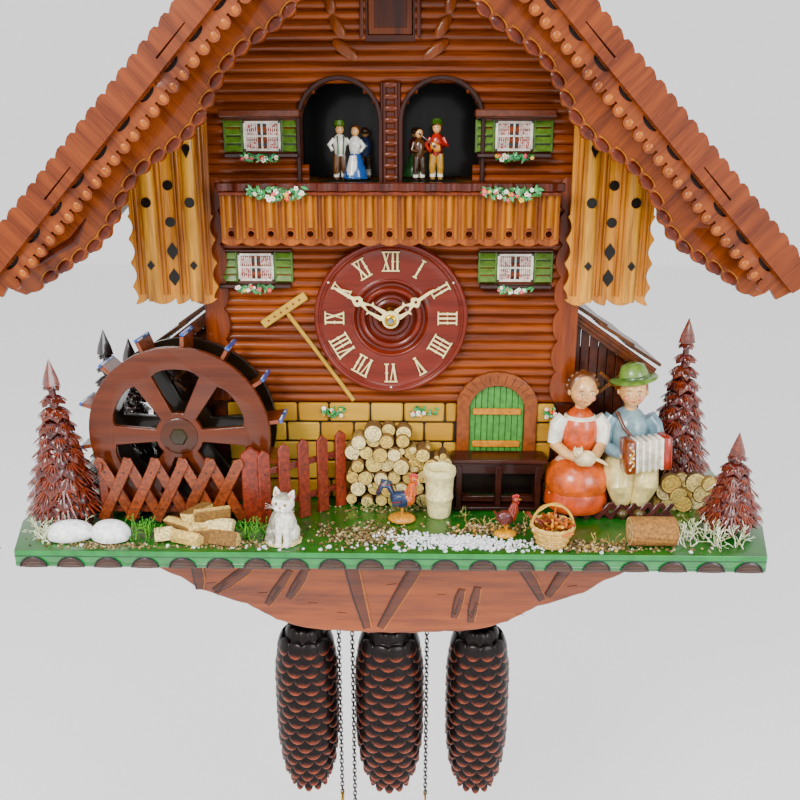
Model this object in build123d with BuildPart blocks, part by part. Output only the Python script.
from build123d import *
from math import asin, cos, degrees, hypot, pi, radians, sin, tan
import os

# A carved chalet cuckoo clock, in millimetres. +Z is up, the wall is the plane Y = 0 and the clock
# faces -Y. The origin is the middle of the hanging hole, in the plane of the wall.
# Heights below are measured from the top of the garden platform.

os.makedirs("parts", exist_ok=True)

# ---------------------------------------------------------------- driving dimensions
HANG_HEIGHT = 430.0          # hanging hole above the platform top
FIT = 0.05                   # running clearance on a radius
GAP = 0.4                    # clearance between pieces that move past each other

CASE_W = 284.0
CASE_D = 102.0               # wall to the face of the front panel
WALL_T = 8.0                 # case boards
BACK_T = 8.0
FLOOR_T = 6.0

ROOF_ANGLE = 46.8
ROOF_T = 8.0
ROOF_LENGTH = 388.0          # along the slope
RIDGE_H = 484.0
ROOF_D = 212.0
MITRE = 0.1                  # half the joint between the left and right boards
BARGE_T = 7.0
BARGE_W = 32.0
BARGE_RISE = 1.5             # how far the outer board stands above the roof
INNER_Y = 190.0              # front of the inner bargeboard, from the wall
INNER_T = 6.0
INNER_W = 36.0

DECK_W = 536.0
DECK_D = 203.0
DECK_T = 13.0
DECK_FLARE = 16.0            # the platform widens behind its front corners
CREST_Y = 118.0
CREST_T = 10.0
CREST_DROP = 119.0

WING_Y = 125.0
WING_T = 5.0
WING_BOTTOM = 168.0
PLANK_W = 30.5
PLANK_GAP = 1.0

BALCONY_W = 240.0
BALCONY_Y = 140.0
BALCONY_T = 6.0
BALCONY_LOW = 210.0
BALCONY_TOP = 252.0
STAGE_H = 247.0              # top of the stage floor

STONE_T = 4.0
STONE_TOP = 82.0
STONE_W = 262.0
DOOR_X = 83.5
DOOR_W = 63.0
DOOR_SPRING = 86.0
DOOR_CROWN = 107.0
DOOR_FRAME = 10.0
DOOR_T = 7.0

DIAL_R = 59.0
DIAL_H = 151.0
DIAL_T = 10.0
HANDS_BORE = 5.2

TURN_R = 54.0                # dancers' turntable
TURN_Y = 78.0
TURN_T = 3.0
ARCH_W = 56.0
ARCH_TOP = 322.0
ARCH_POST = 18.0             # width of the post between the arches

CUCKOO_H = 372.0
CUCKOO_W = 32.0
CUCKOO_TALL = 40.0
BIRD_H = CUCKOO_H - 2.0      # middle of the bird's body

WHEEL_OUT = 16.5             # middle of the water wheel beyond the side of the case
WHEEL_X = -(CASE_W / 2 + WHEEL_OUT)
WHEEL_H = 68.0
WHEEL_R = 68.5
WHEEL_TIP = 78.5
WHEEL_Y = 148.0              # front face of the water wheel
WHEEL_W = 36.0
PADDLES = 14
MILL_RACE = 86.0             # slot in the platform that the paddles dip into
AXLE_R = 3.0

MOVE_H0 = 84.0               # movement plates
MOVE_H1 = 232.0
MOVE_X0 = -96.0
MOVE_X1 = 94.0
MOVE_BACK = 28.0
MOVE_FRONT = 84.0
PLATE_T = 2.0
MODULE = 0.8                 # motion work
CHAIN_Y = 56.0
CHAIN_D = 2.6
SPROCKET_H = 104.0
# name, loaded strand, free strand, radius of the pine cone
TRAINS = (("left", -82.0, -51.0, 28.5), ("middle", -4.0, -38.5, 31.5), ("right", 79.0, 31.0, 28.5))
CONE_TOP = -148.0
CONE_LENGTH = 178.0
# share of the radius, share of the length down from the top
CONE_SHAPE = ((0.5, 0.0), (0.86, 0.06), (0.99, 0.2), (1.0, 0.42), (0.98, 0.62), (0.84, 0.8), (0.5, 0.94), (0.0, 1.0))
RING_R = 9.0
RING_DROP = 20.0             # pull rings below the cone tips, the middle one twice as low

LEVER_Y = 60.0               # night lever through the left wall
LEVER_H = 182.0
LEVER_R = 1.5

PEND_X = -7.0
PEND_Y = 17.0
PEND_H = 172.0
BOB_R = 26.0
BOB_H = -196.0
SWING = 6.0                  # degrees each way

TIME_MINUTES = 50.0          # the hands stand at ten to two
TIME_HOURS = 13.0 + TIME_MINUTES / 60.0

# ---------------------------------------------------------------- places and helpers
DECK = -HANG_HEIGHT
HALF = CASE_W / 2
SLOPE = radians(ROOF_ANGLE)
MOVE_MID = (MOVE_X0 + MOVE_X1) / 2


def front_plane(y):
    """A plane that faces the viewer, y behind it, with heights from the platform top."""
    return Plane(origin=(0, -y, DECK), x_dir=(1, 0, 0), z_dir=(0, -1, 0))


def level(h):
    return Plane.XY.offset(DECK + h)


def side_plane(x):
    return Plane(origin=(x, 0, DECK), x_dir=(0, 1, 0), z_dir=(1, 0, 0))


def at(x, y, h):
    """A place at x, y in front of the wall and h above the platform."""
    return Location((x, -y, DECK + h))


def on_slope(along, depth):
    """A point of the right roof slope, along it from the ridge and depth below its top face."""
    x = along * cos(SLOPE) - depth * sin(SLOPE)
    return (x, RIDGE_H - along * sin(SLOPE) - depth * cos(SLOPE))


def ridge_at(x, depth):
    """A point of the right slope at a distance x from the middle."""
    return (x, RIDGE_H - depth / cos(SLOPE) - x * tan(SLOPE))


def under_roof(x):
    return RIDGE_H - ROOF_T / cos(SLOPE) - abs(x) * tan(SLOPE)


def save(piece, name):
    piece.part.label = name
    export_step(piece.part, "parts/" + name + ".step")


def gear_outline(teeth, module, phase):
    """Points of a wheel with slim straight-sided teeth, a tooth at angle phase in degrees."""
    pitch_r = teeth * module / 2
    step = 360.0 / teeth
    points = []
    for tooth in range(teeth):
        middle = phase + tooth * step
        for share, radius in ((-0.25, -1.2), (-0.09, 0.8), (0.09, 0.8), (0.25, -1.2)):
            angle = radians(middle + share * step)
            r = pitch_r + radius * module
            points.append((r * cos(angle), r * sin(angle)))
    return points


# ---------------------------------------------------------------- case
with BuildPart() as back_panel:
    with BuildSketch(front_plane(0)):
        Polygon(
            (-HALF + WALL_T, 0), (HALF - WALL_T, 0), (HALF - WALL_T, under_roof(HALF)),
            (0, under_roof(0)), (-HALF + WALL_T, under_roof(HALF)))
    extrude(amount=BACK_T)
    with BuildSketch(front_plane(0)):
        with Locations((0, HANG_HEIGHT)):
            Circle(14 + GAP)
    extrude(amount=BACK_T, mode=Mode.SUBTRACT)
    with BuildSketch(front_plane(0)):
        with Locations((MOVE_MID, 158)):
            Rectangle(150 + 2 * GAP, 120 + 2 * GAP)
    extrude(amount=BACK_T, mode=Mode.SUBTRACT)
save(back_panel, "back_panel")

HANGER_R = 4.0
with BuildPart() as hanger_plate:
    with BuildSketch(front_plane(0)):
        with Locations((0, HANG_HEIGHT)):
            Circle(14 + GAP)
            Circle(HANGER_R, mode=Mode.SUBTRACT)
    extrude(amount=BACK_T + 2)
save(hanger_plate, "hanger_plate")

with BuildPart() as side_walls:
    for side in (-1, 1):
        with BuildSketch(front_plane(0)):
            Polygon(
                (side * HALF, 0), (side * (HALF - WALL_T), 0),
                (side * (HALF - WALL_T), under_roof(HALF - WALL_T)),
                (side * HALF, under_roof(HALF)))
        extrude(amount=CASE_D - WALL_T)
    with BuildSketch(side_plane(-HALF - 1)):
        with Locations((-LEVER_Y, LEVER_H)):
            Circle(LEVER_R + FIT)
    extrude(amount=WALL_T + 2, mode=Mode.SUBTRACT)
save(side_walls, "side_walls")

with BuildPart() as front_panel:
    with BuildSketch(front_plane(CASE_D - WALL_T)):
        Polygon(
            (-HALF, 0), (HALF, 0), (HALF, under_roof(HALF)), (0, under_roof(0)), (-HALF, under_roof(HALF)))
        with Locations((0, DIAL_H)):
            Circle(HANDS_BORE + 1, mode=Mode.SUBTRACT)
        with Locations((0, STAGE_H + 5)):
            Rectangle(2 * TURN_R + 8, 14, mode=Mode.SUBTRACT)
        for side in (-1, 1):
            arch_x = side * (ARCH_POST + ARCH_W) / 2
            with Locations((arch_x, (STAGE_H + ARCH_TOP - ARCH_W / 2) / 2)):
                Rectangle(ARCH_W, ARCH_TOP - ARCH_W / 2 - STAGE_H, mode=Mode.SUBTRACT)
            with Locations((arch_x, ARCH_TOP - ARCH_W / 2)):
                Circle(ARCH_W / 2, mode=Mode.SUBTRACT)
        with Locations((0, CUCKOO_H - CUCKOO_W / 4)):
            Rectangle(CUCKOO_W, CUCKOO_TALL - CUCKOO_W / 2, mode=Mode.SUBTRACT)
        with Locations((0, CUCKOO_H + CUCKOO_TALL / 2 - CUCKOO_W / 2)):
            Circle(CUCKOO_W / 2, mode=Mode.SUBTRACT)
    extrude(amount=WALL_T)
save(front_panel, "front_panel")

with BuildPart() as case_floors:
    with BuildSketch(level(-DECK_T)):
        with Locations((0, -(BACK_T + CASE_D - 2) / 2)):
            Rectangle(CASE_W - 2 * WALL_T, CASE_D - BACK_T - 2)
        for name, loaded, free, cone_r in TRAINS:
            with Locations((loaded, -CHAIN_Y), (free, -CHAIN_Y)):
                Circle(CHAIN_D + 2, mode=Mode.SUBTRACT)
        with Locations((PEND_X, -PEND_Y)):
            SlotOverall(56, 13, mode=Mode.SUBTRACT)
    extrude(amount=-FLOOR_T)
    with BuildSketch(level(STAGE_H)):
        with Locations((0, -(BACK_T + CASE_D - WALL_T) / 2)):
            Rectangle(CASE_W - 2 * WALL_T, CASE_D - WALL_T - BACK_T)
        with Locations((0, -TURN_Y)):
            Circle(5 + FIT, mode=Mode.SUBTRACT)
    extrude(amount=-5)
    with BuildSketch(level(BIRD_H - 14.5 - FIT)):
        with Locations((0, -(BACK_T + CASE_D - WALL_T) / 2)):
            Rectangle(16, CASE_D - WALL_T - BACK_T)
    extrude(amount=-4)
save(case_floors, "case_floors")

# ---------------------------------------------------------------- roof
with BuildPart() as roof_boards:
    with BuildSketch(front_plane(1)):
        Polygon(ridge_at(MITRE, 0), on_slope(ROOF_LENGTH, 0), on_slope(ROOF_LENGTH, ROOF_T),
                ridge_at(MITRE, ROOF_T))
    extrude(amount=ROOF_D - 1)
    mirror(about=Plane.YZ)
save(roof_boards, "roof_boards")

TOOTH = 7.6                  # pitch of the carved edges
TEETH = int((ROOF_LENGTH - 20) / TOOTH)
with BuildPart() as outer_bargeboards:
    with BuildSketch(front_plane(ROOF_D)):
        Polygon(ridge_at(MITRE, -BARGE_RISE), on_slope(ROOF_LENGTH + 3, -BARGE_RISE),
                on_slope(ROOF_LENGTH - 2, BARGE_W), ridge_at(MITRE, BARGE_W))
        low_edge = [on_slope(BARGE_W + (i + 0.5) * TOOTH, BARGE_W + 0.6) for i in range(TEETH - 4)]
        with Locations(*low_edge):
            Circle(2.6, mode=Mode.SUBTRACT)
        high_edge = [on_slope((i + 0.5) * TOOTH + 4, -BARGE_RISE - 0.8) for i in range(TEETH + 2)]
        with Locations(*high_edge):
            Circle(2.2, mode=Mode.SUBTRACT)
    extrude(amount=BARGE_T)
    mirror(about=Plane.YZ)
save(outer_bargeboards, "outer_bargeboards")

with BuildPart() as inner_bargeboards:
    with BuildSketch(front_plane(INNER_Y - INNER_T)):
        with BuildLine():
            wave = [on_slope(60 + i * 41.0, ROOF_T + INNER_W - (4.0 if i % 2 else -1.0)) for i in range(8)]
            eave_low = on_slope(ROOF_LENGTH - 2, ROOF_T + INNER_W * 0.55)
            eave_top = on_slope(ROOF_LENGTH - 2, ROOF_T)
            ridge_low = ridge_at(MITRE, ROOF_T + INNER_W)
            ridge_top = ridge_at(MITRE, ROOF_T)
            Spline(ridge_low, *wave, eave_low)
            Polyline(eave_low, eave_top, ridge_top, ridge_low)
        make_face()
        notches = [on_slope(64 + i * 9.5, ROOF_T + INNER_W + 1.5) for i in range(29)]
        with Locations(*notches):
            Circle(3.4, mode=Mode.SUBTRACT)
    extrude(amount=INNER_T)
    mirror(about=Plane.YZ)
save(inner_bargeboards, "inner_bargeboards")

CAP_W = 24.0
with BuildPart() as ridge_cap:
    with BuildSketch(front_plane(1)):
        cap_low = on_slope(CAP_W, 0)
        cap_high = on_slope(CAP_W, -4)
        Polygon((0, RIDGE_H), cap_low, cap_high, (0, RIDGE_H + 4 / cos(SLOPE)),
                (-cap_high[0], cap_high[1]), (-cap_low[0], cap_low[1]))
    extrude(amount=ROOF_D - 1)
    chimney_x = 62.0
    chimney_foot = RIDGE_H - chimney_x * tan(SLOPE)
    with BuildSketch(front_plane(70)):
        Polygon((chimney_x - 13, chimney_foot + 13 * tan(SLOPE)), (chimney_x + 13, chimney_foot - 13 * tan(SLOPE)),
                (chimney_x + 13, chimney_foot + 46), (chimney_x - 13, chimney_foot + 46))
    extrude(amount=26)
    with Locations(at(chimney_x, 83, chimney_foot + 48)):
        Box(32, 32, 4)
save(ridge_cap, "ridge_and_chimney")

with BuildPart() as wing_boards:
    for side in (-1, 1):
        for number in (0, 1):
            near = HALF - 13 + number * (PLANK_W + PLANK_GAP)
            far = near + PLANK_W
            with BuildSketch(front_plane(WING_Y - WING_T)):
                Polygon((side * near, WING_BOTTOM), (side * far, WING_BOTTOM),
                        (side * far, under_roof(far)), (side * near, under_roof(near)))
                with Locations(*[(side * (near + far) / 2, WING_BOTTOM + 14 + i * 22) for i in range(4)]):
                    Circle(2.6, mode=Mode.SUBTRACT)
                edge = far if number else near
                with Locations(*[(side * edge, WING_BOTTOM + 8 + i * 13) for i in range(7)]):
                    Circle(3.2, mode=Mode.SUBTRACT)
            extrude(amount=WING_T)
            with BuildSketch(front_plane(WING_Y - WING_T)):
                Polygon((side * near, under_roof(near) - 14), (side * (near + 14), under_roof(near + 14) - 14),
                        (side * (near + 14), under_roof(near + 14)), (side * near, under_roof(near)))
            if number == 0:
                extrude(amount=-(WING_Y - WING_T - CASE_D))
            else:
                extrude(amount=-10)
save(wing_boards, "wing_boards")

# ---------------------------------------------------------------- front trim
with BuildPart() as balcony:
    with BuildSketch(front_plane(BALCONY_Y - BALCONY_T)):
        with Locations((0, (BALCONY_LOW + BALCONY_TOP) / 2)):
            Rectangle(BALCONY_W, BALCONY_TOP - BALCONY_LOW)
        hole_pitch = BALCONY_W / 17
        with Locations(*[((i - 8) * hole_pitch, BALCONY_LOW + 7) for i in range(17)]):
            Circle(2.7, mode=Mode.SUBTRACT)
    extrude(amount=BALCONY_T)
    with BuildSketch(front_plane(BALCONY_Y - BALCONY_T)):
        with Locations((0, BALCONY_TOP - 3)):
            Rectangle(BALCONY_W + 4, 6)
    extrude(amount=BALCONY_T + 3)
    for side in (-1, 1):
        with BuildSketch(front_plane(CASE_D)):
            with Locations((side * (BALCONY_W / 2 - 2.5), (BALCONY_LOW + BALCONY_TOP) / 2)):
                Rectangle(5, BALCONY_TOP - BALCONY_LOW)
        extrude(amount=BALCONY_Y - CASE_D - BALCONY_T)
    with BuildSketch(level(STAGE_H - 5)):
        with Locations((0, -(CASE_D + BALCONY_Y - BALCONY_T) / 2)):
            Rectangle(BALCONY_W - 10, BALCONY_Y - BALCONY_T - CASE_D)
    extrude(amount=5)
save(balcony, "balcony")

with BuildPart() as stone_wall:
    with BuildSketch(front_plane(CASE_D)):
        with Locations((-1, STONE_TOP / 2)):
            Rectangle(STONE_W, STONE_TOP)
        with Locations((DOOR_X, STONE_TOP / 2)):
            Rectangle(DOOR_W, STONE_TOP, mode=Mode.SUBTRACT)
    extrude(amount=STONE_T)
save(stone_wall, "stone_wall")

with BuildPart() as house_door:
    for inset, thick in ((0.0, DOOR_T), (DOOR_FRAME, 4.0)):
        half = DOOR_W / 2 - inset - (GAP if inset else 0.0)
        crown = DOOR_CROWN - inset - (GAP if inset else 0.0)
        spring = DOOR_SPRING - inset / 2
        with BuildSketch(front_plane(CASE_D)):
            with BuildLine():
                Polyline((DOOR_X - half, spring), (DOOR_X - half, 0), (DOOR_X + half, 0), (DOOR_X + half, spring))
                ThreePointArc((DOOR_X - half, spring), (DOOR_X, crown), (DOOR_X + half, spring))
            make_face()
            if inset == 0.0:
                with BuildLine(mode=Mode.PRIVATE) as opening:
                    inner = half - DOOR_FRAME
                    top = spring - DOOR_FRAME / 2
                    Polyline((DOOR_X - inner, top), (DOOR_X - inner, 0), (DOOR_X + inner, 0), (DOOR_X + inner, top))
                    ThreePointArc((DOOR_X - inner, top), (DOOR_X, crown - DOOR_FRAME), (DOOR_X + inner, top))
                make_face(opening.edges(), mode=Mode.SUBTRACT)
        extrude(amount=thick)
save(house_door, "house_door")

with BuildPart() as bench:
    bench_x, bench_w, bench_top = 84.5, 72.0, 44.0
    bench_y = CASE_D + DOOR_T + 0.5 + 11
    with Locations(at(bench_x, bench_y, bench_top - 2)):
        Box(bench_w, 22, 4)
    for offset in (-bench_w / 2 + 7, 0, bench_w / 2 - 7):
        with Locations(at(bench_x + offset, bench_y, (bench_top - 4) / 2)):
            Box(4, 18, bench_top - 4)
    with Locations(at(bench_x, bench_y - 6, 20)):
        Box(bench_w - 8, 3, 34)
save(bench, "bench")

WINDOWS = ((-93.5, 284.0), (89.5, 284.0), (-102.5, 189.0), (94.0, 189.0))
PANE_W = 27.0
PANE_H = 21.0
with BuildPart() as windows:
    for window_x, window_h in WINDOWS:
        with BuildSketch(front_plane(CASE_D)):
            with Locations((window_x, window_h)):
                Rectangle(PANE_W, PANE_H)
        extrude(amount=3)
        with Locations(at(window_x, CASE_D + 5, window_h - PANE_H / 2 - 3)):
            Box(PANE_W + 26, 10, 3)
    for window_x, window_h in WINDOWS[:2]:
        with Locations(at(window_x, CASE_D + 6, window_h + PANE_H / 2 + 5)):
            Box(PANE_W + 30, 12, 5)
    for window_x, window_h in WINDOWS:
        for side in (-1, 1):
            shutter_w = 14.0
            with BuildSketch(front_plane(CASE_D)):
                with Locations((window_x + side * (PANE_W / 2 + GAP + shutter_w / 2), window_h)):
                    Rectangle(shutter_w, PANE_H + 1)
            extrude(amount=4)
save(windows, "windows_and_shutters")

with BuildPart() as dial:
    with BuildSketch(side_plane(0)):
        Polygon(
            (-CASE_D, DIAL_H + HANDS_BORE), (-CASE_D, DIAL_H + DIAL_R - 1.5),
            (-CASE_D - 2, DIAL_H + DIAL_R), (-CASE_D - 7, DIAL_H + DIAL_R),
            (-CASE_D - DIAL_T, DIAL_H + DIAL_R - 3), (-CASE_D - DIAL_T, DIAL_H + DIAL_R - 5),
            (-CASE_D - 7.5, DIAL_H + DIAL_R - 7), (-CASE_D - 8, DIAL_H + 28),
            (-CASE_D - 6, DIAL_H + 26), (-CASE_D - 6, DIAL_H + HANDS_BORE))
    revolve(axis=Axis((0, 0, DECK + DIAL_H), (0, 1, 0)))
save(dial, "dial")

NUMERAL_R = 43.5
NUMERAL_BASE = CASE_D + 7.9
ROMAN = ("I", "II", "III", "IIII", "V", "VI", "VII", "VIII", "IX", "X", "XI", "XII")
with BuildPart() as numerals:
    for hour, word in enumerate(ROMAN, start=1):
        turn = radians(90 - hour * 30)
        with BuildSketch(front_plane(NUMERAL_BASE)):
            with Locations(Location((NUMERAL_R * cos(turn), DIAL_H + NUMERAL_R * sin(turn)),
                                    (0, 0, degrees(turn) - 90))):
                Rectangle(2.2 + 2.4 * len(word), 14)
        extrude(amount=1.2)
save(numerals, "numerals")

# ---------------------------------------------------------------- platform and crest
with BuildPart() as platform:
    with BuildSketch(level(0)):
        Polygon(
            (-DECK_W / 2, -DECK_D), (DECK_W / 2, -DECK_D), (DECK_W / 2 + DECK_FLARE, -DECK_D + 50),
            (DECK_W / 2 + DECK_FLARE, -30), (DECK_W / 2, -1), (-DECK_W / 2, -1),
            (-DECK_W / 2 - DECK_FLARE, -30), (-DECK_W / 2 - DECK_FLARE, -DECK_D + 50))
        with Locations((0, -CASE_D / 2)):
            Rectangle(CASE_W - 2 * WALL_T - 16, CASE_D - 24, mode=Mode.SUBTRACT)
        with Locations((WHEEL_X, -WHEEL_Y + WHEEL_W / 2)):
            Rectangle(MILL_RACE, WHEEL_W + 4, mode=Mode.SUBTRACT)
    extrude(amount=-DECK_T)
    with BuildSketch(level(-DECK_T)):
        with Locations((WHEEL_X, -WHEEL_Y + WHEEL_W / 2)):
            Rectangle(MILL_RACE, WHEEL_W + 4)
    extrude(amount=1.5)
save(platform, "platform")

with BuildPart() as leaf_crest:
    with BuildSketch(front_plane(CREST_Y - CREST_T)):
        with BuildLine():
            half_edge = ((198, -60), (160, -79), (122, -92), (98, -107), (60, -CREST_DROP + 3))
            right_edge = [(x, h) for x, h in half_edge]
            left_edge = [(-x, h) for x, h in reversed(half_edge)]
            Spline(*right_edge, (0, -CREST_DROP), *left_edge)
            Polyline(left_edge[-1], (-206, -DECK_T), (206, -DECK_T), right_edge[0])
        make_face()
    extrude(amount=CREST_T)
    fillet(leaf_crest.faces().sort_by(Axis.Y)[0].edges().filter_by(GeomType.BSPLINE), 2)
save(leaf_crest, "leaf_crest")

# ---------------------------------------------------------------- sheds
SHED_W = 62.0
with BuildPart() as sheds:
    for side in (-1, 1):
        eave = HALF + SHED_W + (4 if side > 0 else 0)
        with BuildSketch(front_plane(22)):
            Polygon((side * HALF, 158), (side * eave, 112), (side * (eave + 2), 107), (side * HALF, 153))
        extrude(amount=74)
        with BuildSketch(front_plane(28)):
            Polygon((side * HALF, 0), (side * (eave - 12), 0), (side * (eave - 12), 116), (side * HALF, 153))
            Polygon((side * (HALF + 4), 4), (side * (eave - 16), 4), (side * (eave - 16), 112),
                    (side * (HALF + 4), 145), mode=Mode.SUBTRACT)
        extrude(amount=60)
        with BuildSketch(front_plane(28 + 56)):
            Polygon((side * HALF, 0), (side * (eave - 12), 0), (side * (eave - 12), 116), (side * HALF, 153))
            if side < 0:
                with Locations((WHEEL_X, WHEEL_H)):
                    Circle(AXLE_R + FIT, mode=Mode.SUBTRACT)
        extrude(amount=4)
save(sheds, "sheds")

# ---------------------------------------------------------------- water wheel
STAND_Y = 99.0
with BuildPart() as wheel_stand:
    with BuildSketch(front_plane(STAND_Y)):
        Polygon((WHEEL_X - 14, 0), (WHEEL_X + 14, 0), (WHEEL_X + 7, WHEEL_H + 9), (WHEEL_X - 7, WHEEL_H + 9))
        with Locations((WHEEL_X, WHEEL_H)):
            Circle(AXLE_R + FIT, mode=Mode.SUBTRACT)
    extrude(amount=6)
save(wheel_stand, "wheel_stand")

RING_W = 15.0
with BuildPart() as water_wheel:
    for front, thick in ((WHEEL_Y - WHEEL_W, 5.0), (WHEEL_Y - 5, 5.0)):
        with BuildSketch(front_plane(front)):
            with Locations((WHEEL_X, WHEEL_H)):
                Circle(WHEEL_R)
                Circle(WHEEL_R - RING_W, mode=Mode.SUBTRACT)
                Circle(13)
            with Locations((WHEEL_X, WHEEL_H)):
                with PolarLocations(WHEEL_R / 2, 6, start_angle=30):
                    Rectangle(WHEEL_R - 6, 9)
                Circle(AXLE_R, mode=Mode.SUBTRACT)
        extrude(amount=thick)
    with BuildSketch(front_plane(WHEEL_Y - WHEEL_W)):
        with Locations((WHEEL_X, WHEEL_H)):
            Circle(WHEEL_R - RING_W + 3)
            Circle(WHEEL_R - RING_W, mode=Mode.SUBTRACT)
    extrude(amount=WHEEL_W)
    with BuildSketch(front_plane(WHEEL_Y + 3)):
        with Locations((WHEEL_X, WHEEL_H)):
            Circle(AXLE_R)
    extrude(amount=-(WHEEL_Y + 3 - 70))
    with BuildSketch(front_plane(WHEEL_Y)):
        with Locations((WHEEL_X, WHEEL_H)):
            Circle(7)
    extrude(amount=2.5)
save(water_wheel, "water_wheel")

with BuildPart() as wheel_paddles:
    with BuildSketch(front_plane(WHEEL_Y - WHEEL_W + 5)):
        with Locations((WHEEL_X, WHEEL_H)):
            with PolarLocations((WHEEL_TIP + WHEEL_R - RING_W + 3) / 2, PADDLES, start_angle=8):
                Rectangle(WHEEL_TIP - WHEEL_R + RING_W - 3, 3)
    extrude(amount=WHEEL_W - 10)
save(wheel_paddles, "wheel_paddles")

# ---------------------------------------------------------------- garden
FENCE_Y = 153.5
PICKETS = 5
with BuildPart() as garden_fences:
    fence_x0, fence_x1, fence_low, fence_top = -218.0, -114.0, 3.0, 50.0
    cells = 5
    cell = (fence_x1 - fence_x0) / cells
    for number in range(cells):
        for lean in (-1, 1):
            middle = fence_x0 + (number + 0.5) * cell
            half_w = cell / 2 + 2
            ends = ((middle - lean * half_w, fence_low), (middle + lean * half_w, fence_top))
            with BuildSketch(front_plane(FENCE_Y)):
                Polygon((ends[0][0] - 4, ends[0][1]), (ends[0][0] + 4, ends[0][1]),
                        (ends[1][0] + 4, ends[1][1]), (ends[1][0] - 4, ends[1][1]))
            extrude(amount=3)
    with BuildSketch(front_plane(FENCE_Y - 3)):
        Polygon((fence_x0 - 3, 0), (fence_x0 + 4, 0), (fence_x0 + 4, 48), (fence_x0 - 3, 48))
        Polygon((-112, 0), (-97, 0), (-97, 56), (-104.5, 61), (-112, 56))
        Polygon((fence_x0, 8), (-108, 8), (-108, 14), (fence_x0, 14))
    extrude(amount=3)
    fence_start = (-94.0, 163.0)
    fence_end = (-41.0, 119.0)
    run = hypot(fence_end[0] - fence_start[0], fence_start[1] - fence_end[1])
    picket_plane = Plane(
        origin=(fence_start[0], -fence_start[1], DECK),
        x_dir=(fence_end[0] - fence_start[0], fence_start[1] - fence_end[1], 0),
        z_dir=(fence_start[1] - fence_end[1], -(fence_end[0] - fence_start[0]), 0))
    with BuildSketch(picket_plane):
        for number in range(PICKETS):
            middle = number * run / (PICKETS - 1)
            Polygon((middle - 5, 0), (middle + 5, 0), (middle + 5, 57), (middle, 64), (middle - 5, 57))
    extrude(amount=3)
    with BuildSketch(picket_plane):
        for rail_h in (16, 44):
            with Locations((run / 2, rail_h)):
                Rectangle(run, 5)
    extrude(amount=-3)
    with BuildSketch(front_plane(140)):
        for number in range(9):
            middle = 137 + number * 9.5
            Polygon((middle - 9, 0), (middle - 5, 0), (middle + 5, 14), (middle + 1, 14))
            Polygon((middle + 5, 0), (middle + 9, 0), (middle - 1, 14), (middle - 5, 14))
    extrude(amount=2.5)
save(garden_fences, "garden_fences")

with BuildPart() as firewood:
    log_r = 6.6
    for row in range(5):
        for number in range(6 - row % 2 if row < 4 else 3):
            log_x = -28 + (number + 0.5 * (row % 2)) * 2.05 * log_r
            with BuildSketch(front_plane(CASE_D + STONE_T)):
                with Locations((log_x, log_r + row * 1.78 * log_r)):
                    Circle(log_r)
            extrude(amount=16)
    for number, (wood_x, wood_y, turn) in enumerate(
            ((-158, 184, 20), (-144, 190, -25), (-128, 184, 10), (-116, 190, -10), (-136, 182, 60))):
        wood_plane = Plane(origin=(wood_x, -wood_y, DECK + 7 + 5 * (number == 4)),
                           x_dir=(cos(radians(turn)), sin(radians(turn)), 0), z_dir=(0, 0, 1))
        with BuildSketch(wood_plane):
            Rectangle(24, 10)
        extrude(amount=7, both=True)
    for number in range(6):
        with BuildSketch(front_plane(112 + (number % 2) * 8)):
            with Locations((219 + (number % 3) * 13, 7.5 + (number // 3) * 13)):
                Circle(7.5)
        extrude(amount=14)
    with BuildSketch(side_plane(173)):
        with Locations((-186, 10.5)):
            Circle(10.5)
    extrude(amount=34)
save(firewood, "firewood")


# x, distance from the wall, height, widest radius
SHED_SIDE = HALF + SHED_W
TREES = (
    (WHEEL_X - 90.5, 152, 128, 25),
    (SHED_SIDE + 32, 82, 146, 26),
    (254, 163, 78, 20),
    (-SHED_SIDE - 24, 96, 138, 20),
    (-SHED_SIDE - 22, 46, 120, 18),
)
with BuildPart() as fir_trees:
    for tree_x, tree_y, tree_h, tree_r in TREES:
        with Locations(at(tree_x, tree_y, 4)):
            Cylinder(tree_r * 0.3, 8)
        tiers = 6
        for tier in range(tiers):
            low = 8 + (tree_h - 8) * tier / tiers * 0.94
            high = min(low + (tree_h - 8) * 0.27, tree_h)
            radius = tree_r * (1 - tier / (tiers + 0.6))
            with BuildSketch(side_plane(tree_x)):
                Polygon((-tree_y, low), (-tree_y + radius, low), (-tree_y, high))
            revolve(axis=Axis((tree_x, -tree_y, 0), (0, 0, 1)))
save(fir_trees, "fir_trees")

with BuildPart() as couple:
    for person_x, person_y, hair in ((148, 122, 13), (186, 118, 14)):
        with Locations(at(person_x, person_y, 20)):
            Box(34, 26, 40)
        with Locations(at(person_x, person_y, 58)):
            Cylinder(15, 46)
        with Locations(at(person_x, person_y + 2, 100)):
            Sphere(hair + 2)
    with Locations(at(190, 138, 56)):
        Box(30, 14, 26)
    with Locations(at(148, 136, 50)):
        Box(30, 14, 30)
    with Locations(at(167, 117, 14)):
        Box(80, 20, 28)
    with BuildSketch(level(108)):
        with Locations((186, -120)):
            Ellipse(19, 17)
    extrude(amount=12, taper=28)
save(couple, "seated_couple")

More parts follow.
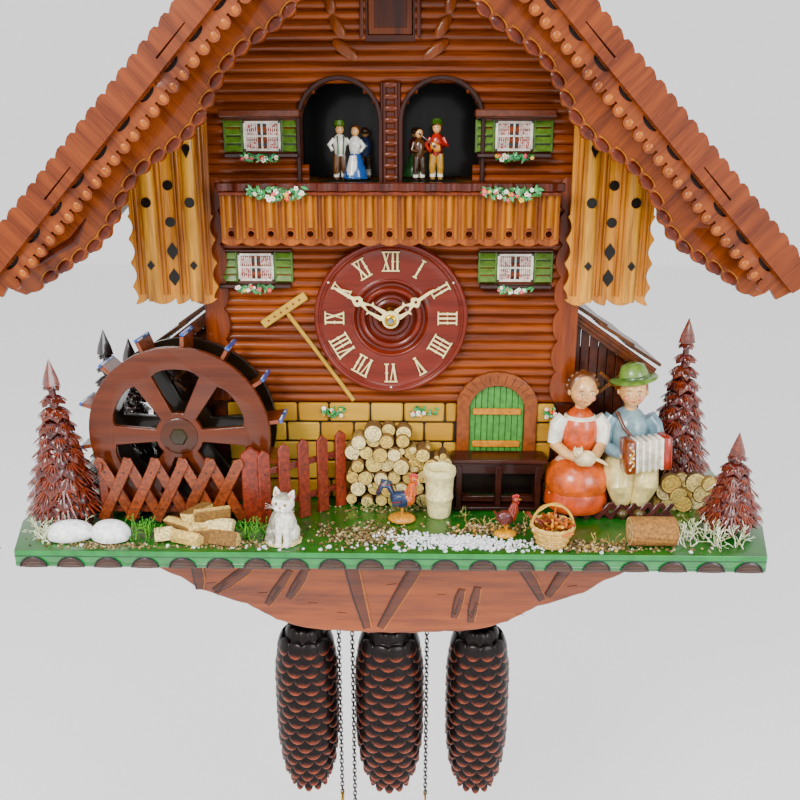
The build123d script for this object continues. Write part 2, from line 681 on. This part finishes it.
with BuildPart() as garden_animals:
    with BuildSketch(side_plane(-77)):
        Polygon((-195, 0), (-171, 0), (-171, 20), (-179, 34), (-181, 44), (-193, 44), (-195, 30))
    extrude(amount=14, both=True)
    with Locations(at(10, 147, 4)):
        Cylinder(13, 8)
    with BuildSketch(front_plane(144)):
        Polygon((-2, 8), (16, 8), (20, 34), (15, 44), (9, 34), (-8, 38), (-10, 24))
    extrude(amount=7)
    with Locations(at(86, 172, 2)):
        Cylinder(10, 4)
    with BuildSketch(front_plane(168)):
        Polygon((80, 4), (92, 4), (98, 20), (92, 30), (86, 22), (76, 24), (72, 14))
    extrude(amount=7)
save(garden_animals, "garden_animals")

with BuildPart() as garden_oddments:
    for stone_x, stone_r in ((-234, 15), (-203, 13)):
        with BuildSketch(side_plane(stone_x)):
            Polygon((-184, 0), (-184 + stone_r * 0.9, 0), (-184 + stone_r, 4), (-184 + stone_r * 0.5, 11), (-184, 12))
        revolve(axis=Axis((stone_x, -184, 0), (0, 0, 1)))
    with BuildSketch(side_plane(38)):
        Polygon((-137, 0), (-129, 0), (-126, 34), (-124.5, 34), (-124.5, 40), (-127.5, 40), (-130, 6), (-137, 6))
    revolve(axis=Axis((38, -137, 0), (0, 0, 1)))
    with BuildSketch(side_plane(118)):
        Polygon((-189, 0), (-178, 0), (-173, 17), (-175, 17), (-179, 10), (-189, 10))
    revolve(axis=Axis((118, -189, 0), (0, 0, 1)))
    with BuildSketch(front_plane(188)):
        Polygon((105, 12), (106.5, 29), (129.5, 29), (131, 12), (129, 12), (127.5, 27), (108.5, 27), (107, 12))
    extrude(amount=2)
save(garden_oddments, "garden_oddments")

with BuildPart() as hay_rake:
    head_a, head_b = (-99.0, 145.0), (-65.0, 168.0)
    rake_foot = (-30.0, 84.0)
    rake_base = CASE_D
    middle = ((head_a[0] + head_b[0]) / 2, (head_a[1] + head_b[1]) / 2)
    handle = hypot(rake_foot[0] - middle[0], rake_foot[1] - middle[1])
    handle_turn = -degrees(asin((middle[1] - rake_foot[1]) / handle))
    with BuildSketch(front_plane(rake_base)):
        with Locations(Location(((middle[0] + rake_foot[0]) / 2, (middle[1] + rake_foot[1]) / 2), (0, 0, handle_turn))):
            Rectangle(handle, 3.4)
    extrude(amount=3.4)
    head_length = hypot(head_b[0] - head_a[0], head_b[1] - head_a[1])
    head_turn = degrees(asin((head_b[1] - head_a[1]) / head_length))
    with BuildSketch(front_plane(rake_base)):
        with Locations(Location(middle, (0, 0, head_turn))):
            Rectangle(head_length, 6.5)
            with GridLocations(5.6, 1, 6, 1):
                Circle(0.9, mode=Mode.SUBTRACT)
    extrude(amount=5)
save(hay_rake, "hay_rake")

# ---------------------------------------------------------------- movement
ARBOR_R = 2.0
COCK_W = 8.0
with BuildPart() as movement_frame:
    for back, keep_holes in ((MOVE_BACK, "rear"), (MOVE_FRONT - PLATE_T, "front")):
        with BuildSketch(front_plane(back)):
            with Locations((MOVE_MID, (MOVE_H0 + MOVE_H1) / 2)):
                RectangleRounded(MOVE_X1 - MOVE_X0, MOVE_H1 - MOVE_H0, 6)
            for name, loaded, free, cone_r in TRAINS:
                with Locations(((loaded + free) / 2, SPROCKET_H)):
                    Circle(ARBOR_R + FIT, mode=Mode.SUBTRACT)
            with Locations((0, DIAL_H)):
                Circle(ARBOR_R + FIT, mode=Mode.SUBTRACT)
            if keep_holes == "rear":
                with Locations((PEND_X, PEND_H)):
                    Circle(1.6 + FIT, mode=Mode.SUBTRACT)
        extrude(amount=PLATE_T)
    for pillar_x in (MOVE_X0 + 7, MOVE_X1 - 7):
        for pillar_h in (MOVE_H0 + 7, MOVE_H1 - 7):
            with BuildSketch(front_plane(MOVE_BACK + PLATE_T)):
                with Locations((pillar_x, pillar_h)):
                    Circle(3)
            extrude(amount=MOVE_FRONT - MOVE_BACK - 2 * PLATE_T)
    with BuildSketch(front_plane(BACK_T)):
        with Locations(*[(x, h) for x in (MOVE_X0 + 4, MOVE_X1 - 4) for h in (MOVE_H0 + 8, MOVE_H1 - 8)]):
            Circle(3.5)
    extrude(amount=MOVE_BACK - BACK_T)
    # post for the minute wheel
    with BuildSketch(front_plane(MOVE_FRONT)):
        with Locations((16 * MODULE / 0.8, DIAL_H)):
            Circle(1.5)
    extrude(amount=8)
save(movement_frame, "movement_frame")

GONG_X = 44.0
GONG_H = 188.0
with BuildPart() as gong:
    with BuildSketch(level(GONG_H - 46)):
        with Locations((GONG_X, -(17 + MOVE_BACK) / 2)):
            Rectangle(26, MOVE_BACK - 17)
    extrude(amount=14)
    for ring_r in (14.0, 20.0, 26.0):
        with BuildSketch(side_plane(GONG_X)):
            with Locations((-19, GONG_H + ring_r)):
                Circle(1.0)
        revolve(axis=Axis((GONG_X, 0, DECK + GONG_H), (0, 1, 0)))
    with BuildSketch(front_plane(18)):
        with Locations((GONG_X, GONG_H - 23)):
            Rectangle(3, 20)
    extrude(amount=2)
save(gong, "gong")

BELLOWS_X = 112.0
BELLOWS_H0 = STAGE_H
BELLOWS_TALL = 44.0
with BuildPart() as bellows_boxes:
    for side in (-1, 1):
        with BuildSketch(level(BELLOWS_H0)):
            with Locations((side * BELLOWS_X, -44)):
                Rectangle(30, 40)
        extrude(amount=BELLOWS_TALL)
        with BuildSketch(level(BELLOWS_H0 + BELLOWS_TALL)):
            with Locations((side * BELLOWS_X, -68)):
                Rectangle(30, 8)
        extrude(amount=-BELLOWS_TALL)
save(bellows_boxes, "bellows_boxes")

MUSIC_W = 36.0
MUSIC_X = HALF - WALL_T - MUSIC_W / 2
MUSIC_H = 200.0
with BuildPart() as music_comb:
    with BuildSketch(level(MUSIC_H - 16)):
        with Locations((MUSIC_X, -52)):
            Rectangle(MUSIC_W, 56)
    extrude(amount=-3)
    for end_y in (26.0, 76.0):
        with BuildSketch(front_plane(end_y)):
            with Locations((MUSIC_X, MUSIC_H - 4)):
                Rectangle(14, 24)
            with Locations((MUSIC_X, MUSIC_H)):
                Circle(1.5 + FIT, mode=Mode.SUBTRACT)
        extrude(amount=2)
    with BuildSketch(level(MUSIC_H - 1)):
        with Locations((MUSIC_X + 14, -52)):
            Rectangle(6, 44)
    extrude(amount=-15)
    with BuildSketch(level(MUSIC_H)):
        with Locations((MUSIC_X + 13.2, -52)):
            Rectangle(7.6, 44)
    extrude(amount=-1)
save(music_comb, "music_comb")

# ---------------------------------------------------------------- hands and motion work
HOUR_Y = CASE_D + DIAL_T + 2.4
MINUTE_Y = HOUR_Y + 2.6
HAND_T = 1.6
HOUR_PIPE = 4.0
CENTRES = (10 + 30) * MODULE / 2
minute_turn = 90 - TIME_MINUTES * 6
hour_turn = 90 - TIME_HOURS * 30


def hand_outline(length, width, tail):
    return [(-tail, -1.6), (6, -1.6), (length * 0.35, -width / 2), (length * 0.62, -width * 0.36),
            (length * 0.72, -width / 2), (length, 0), (length * 0.72, width / 2),
            (length * 0.62, width * 0.36), (length * 0.35, width / 2), (6, 1.6), (-tail, 1.6)]


with BuildPart() as minute_hand:
    with BuildSketch(front_plane(MINUTE_Y)):
        with Locations(Location((0, DIAL_H), (0, 0, minute_turn))):
            Polygon(*hand_outline(50, 9, 5))
        with Locations((0, DIAL_H)):
            Circle(5)
            Circle(ARBOR_R, mode=Mode.SUBTRACT)
    extrude(amount=HAND_T)
    with BuildSketch(front_plane(MINUTE_Y + HAND_T)):
        with Locations((0, DIAL_H)):
            RegularPolygon(4, 6)
            Circle(ARBOR_R, mode=Mode.SUBTRACT)
    extrude(amount=2.4)
save(minute_hand, "minute_hand")

with BuildPart() as minute_arbor:
    with BuildSketch(front_plane(MOVE_BACK - 2)):
        with Locations((0, DIAL_H)):
            Circle(ARBOR_R)
    extrude(amount=MINUTE_Y + HAND_T + 4 - MOVE_BACK + 2)
    with BuildSketch(front_plane(MOVE_FRONT + 0.6)):
        with Locations((0, DIAL_H)):
            Polygon(*gear_outline(10, MODULE, 0))
    extrude(amount=3)
    with BuildSketch(front_plane(MOVE_FRONT - PLATE_T - 4)):
        with Locations((0, DIAL_H)):
            Circle(14)
    extrude(amount=2)
save(minute_arbor, "minute_arbor")

with BuildPart() as minute_wheel:
    with BuildSketch(front_plane(MOVE_FRONT + 1)):
        with Locations((CENTRES, DIAL_H)):
            Polygon(*gear_outline(30, MODULE, 180 + 6))
            Circle(1.5 + FIT, mode=Mode.SUBTRACT)
    extrude(amount=2)
    with BuildSketch(front_plane(MOVE_FRONT + 3)):
        with Locations((CENTRES, DIAL_H)):
            Polygon(*gear_outline(8, MODULE, 180))
            Circle(1.5 + FIT, mode=Mode.SUBTRACT)
    extrude(amount=4)
save(minute_wheel, "minute_wheel")

with BuildPart() as hour_hand:
    with BuildSketch(front_plane(HOUR_Y)):
        with Locations(Location((0, DIAL_H), (0, 0, hour_turn))):
            Polygon(*hand_outline(40, 10, 5))
        with Locations((0, DIAL_H)):
            Circle(6.5)
            Circle(HOUR_PIPE, mode=Mode.SUBTRACT)
    extrude(amount=HAND_T)
save(hour_hand, "hour_hand")

with BuildPart() as hour_wheel:
    with BuildSketch(front_plane(MOVE_FRONT + 4.4)):
        with Locations((0, DIAL_H)):
            Polygon(*gear_outline(32, MODULE, 360.0 / 64))
            Circle(ARBOR_R + FIT, mode=Mode.SUBTRACT)
    extrude(amount=2)
    with BuildSketch(front_plane(MOVE_FRONT + 6.4)):
        with Locations((0, DIAL_H)):
            Circle(HOUR_PIPE)
            Circle(ARBOR_R + FIT, mode=Mode.SUBTRACT)
    extrude(amount=HOUR_Y + HAND_T - MOVE_FRONT - 6.4)
save(hour_wheel, "hour_wheel")

# ---------------------------------------------------------------- chains, great wheels and weights
for number, (name, loaded, free, cone_r) in enumerate(TRAINS):
    centre = (loaded + free) / 2
    sprocket_r = abs(loaded - free) / 2 - CHAIN_D / 2 - GAP
    with BuildPart() as great_wheel:
        with BuildSketch(front_plane(MOVE_BACK - 2)):
            with Locations((centre, SPROCKET_H)):
                Circle(ARBOR_R)
        extrude(amount=MOVE_FRONT - MOVE_BACK + 4)
        with BuildSketch(front_plane(CHAIN_Y - 2)):
            with Locations((centre, SPROCKET_H)):
                Circle(sprocket_r)
        extrude(amount=4)
        with BuildSketch(front_plane(CHAIN_Y + 6)):
            with Locations((centre, SPROCKET_H)):
                Circle(min(sprocket_r + 6, 21))
        extrude(amount=2)
    save(great_wheel, "great_wheel_" + name)

    with BuildPart() as weight:
        with BuildSketch(side_plane(loaded)):
            with BuildLine():
                top = (-CHAIN_Y, CONE_TOP)
                side_points = [(-CHAIN_Y + cone_r * wide, CONE_TOP - CONE_LENGTH * down)
                               for wide, down in CONE_SHAPE]
                Spline(*side_points)
                Polyline(side_points[-1], top, side_points[0])
            make_face()
        revolve(axis=Axis((loaded, -CHAIN_Y, 0), (0, 0, 1)))
        with BuildSketch(front_plane(CHAIN_Y - 1.2)):
            with Locations((loaded, CONE_TOP + 7)):
                Circle(8)
                Circle(5.2, mode=Mode.SUBTRACT)
        extrude(amount=2.4)
        with BuildSketch(level(CONE_TOP + 15)):
            with Locations((loaded, -CHAIN_Y)):
                Circle(CHAIN_D / 2)
        extrude(amount=SPROCKET_H - CONE_TOP - 15)
    save(weight, "weight_" + name)

    with BuildPart() as free_chain:
        ring_h = CONE_TOP - CONE_LENGTH - RING_DROP * (1 + number % 2)
        with BuildSketch(level(ring_h + RING_R)):
            with Locations((free, -CHAIN_Y)):
                Circle(CHAIN_D / 2)
        extrude(amount=SPROCKET_H - ring_h - RING_R)
        with BuildSketch(side_plane(free - 1)):
            with Locations((-CHAIN_Y, ring_h)):
                Circle(RING_R)
                Circle(RING_R - 2, mode=Mode.SUBTRACT)
        extrude(amount=2)
    save(free_chain, "pull_chain_" + name)

# ---------------------------------------------------------------- pendulum and hammer
with BuildPart() as pendulum_rod:
    with BuildSketch(front_plane(PEND_Y - 4)):
        with Locations((PEND_X, PEND_H)):
            Circle(1.6)
    extrude(amount=MOVE_BACK + PLATE_T + 3 - PEND_Y + 4)
    with BuildSketch(front_plane(PEND_Y - 1)):
        with Locations((PEND_X, PEND_H)):
            Circle(4)
        with Locations((PEND_X, (PEND_H + BOB_H) / 2)):
            Rectangle(3, PEND_H - BOB_H)
    extrude(amount=2)
save(pendulum_rod, "pendulum_rod")

with BuildPart() as pendulum_bob:
    with BuildSketch(front_plane(PEND_Y + 1)):
        with Locations((PEND_X, BOB_H)):
            Circle(BOB_R)
    extrude(amount=3)
    fillet(pendulum_bob.faces().sort_by(Axis.Y)[0].edges(), 1.2)
save(pendulum_bob, "pendulum_bob")

HAMMER_X = 4.0
HAMMER_H = 222.0
with BuildPart() as strike_hammer:
    with BuildSketch(front_plane(18)):
        with Locations((HAMMER_X, HAMMER_H)):
            Circle(4)
            Circle(1.2 + FIT, mode=Mode.SUBTRACT)
        Polygon((HAMMER_X + 2, HAMMER_H - 3), (HAMMER_X + 4, HAMMER_H - 2), (HAMMER_X + 10, GONG_H + 2),
                (HAMMER_X + 7, GONG_H + 2))
        with Locations((HAMMER_X + 8, GONG_H)):
            Rectangle(9, 6)
    extrude(amount=3)
save(strike_hammer, "strike_hammer")

# ---------------------------------------------------------------- cuckoo and its door
HINGE_R = 1.2
door_left = -CUCKOO_W / 2 + GAP
door_right = CUCKOO_W / 2 - GAP
door_low = CUCKOO_H - CUCKOO_TALL / 2 + GAP
door_spring = CUCKOO_H + CUCKOO_TALL / 2 - CUCKOO_W / 2
with BuildPart() as cuckoo_door:
    with BuildSketch(front_plane(CASE_D - 4)):
        with BuildLine():
            Polyline((door_left, door_spring), (door_left, door_low), (door_right, door_low),
                     (door_right, door_spring))
            ThreePointArc((door_left, door_spring), (0, door_spring + CUCKOO_W / 2 - GAP), (door_right, door_spring))
        make_face()
    extrude(amount=3.4)
save(cuckoo_door, "cuckoo_door")

BIRD_Y = 72.0                # beak tip of the resting bird, from the wall
with BuildPart() as cuckoo:
    with BuildSketch(side_plane(0)):
        Polygon((-BIRD_Y + 2, BIRD_H + 5), (-BIRD_Y + 10, BIRD_H + 11), (-BIRD_Y + 18, BIRD_H + 8),
                (-BIRD_Y + 24, BIRD_H - 2), (-BIRD_Y + 40, BIRD_H - 10), (-BIRD_Y + 22, BIRD_H - 12),
                (-BIRD_Y + 8, BIRD_H - 8))
    extrude(amount=6, both=True)
    with BuildSketch(front_plane(BIRD_Y - 32)):
        with Locations((0, BIRD_H - 13)):
            Rectangle(6, 3)
    extrude(amount=30)
save(cuckoo, "cuckoo")

for side, side_name in ((-1, "left"), (1, "right")):
    with BuildPart() as bellows_top:
        with BuildSketch(level(BELLOWS_H0 + BELLOWS_TALL + GAP)):
            with Locations((side * BELLOWS_X, -44)):
                Rectangle(28, 38)
        extrude(amount=4)
    save(bellows_top, "bellows_top_" + side_name)

# ---------------------------------------------------------------- music cylinder and turntable
with BuildPart() as music_cylinder:
    with BuildSketch(front_plane(24)):
        with Locations((MUSIC_X, MUSIC_H)):
            Circle(1.5)
    extrude(amount=56)
    with BuildSketch(front_plane(30)):
        with Locations((MUSIC_X, MUSIC_H)):
            Circle(9)
    extrude(amount=44)
save(music_cylinder, "music_cylinder")

with BuildPart() as turntable:
    with BuildSketch(level(STAGE_H + 1)):
        with Locations((0, -TURN_Y)):
            Circle(TURN_R)
    extrude(amount=TURN_T)
    with BuildSketch(level(STAGE_H + 1)):
        with Locations((0, -TURN_Y)):
            Circle(5)
    extrude(amount=-14)
save(turntable, "turntable")

DANCER_R = 40.0
# angle on the turntable, half width, height
DANCERS = ((207, 15, 44), (333, 11, 44), (62, 11, 42), (125, 13, 42))
with BuildPart() as dancers:
    for angle, half_w, tall in DANCERS:
        turn = radians(angle)
        with Locations(at(DANCER_R * cos(turn), TURN_Y - DANCER_R * sin(turn), STAGE_H + 1 + TURN_T + tall / 2)):
            Cylinder(half_w * 0.72, tall)
save(dancers, "dancers")

# ---------------------------------------------------------------- rear door and night lever
with BuildPart() as rear_door:
    with BuildSketch(front_plane(1)):
        with Locations((MOVE_MID, 158)):
            Rectangle(150, 120)
    extrude(amount=4)
save(rear_door, "rear_door")

with BuildPart() as night_lever:
    with BuildSketch(side_plane(-HALF + WALL_T + 4)):
        with Locations((-LEVER_Y, LEVER_H)):
            Circle(LEVER_R)
    extrude(amount=-(WALL_T + 8))
    with BuildSketch(side_plane(-HALF - 4)):
        with Locations((-LEVER_Y, LEVER_H + 9)):
            Rectangle(2 * LEVER_R, 18)
    extrude(amount=3)
    with BuildSketch(side_plane(-HALF + WALL_T + 1)):
        with Locations((-LEVER_Y, LEVER_H + 10)):
            Rectangle(2 * LEVER_R, 20)
    extrude(amount=3)
save(night_lever, "night_lever")
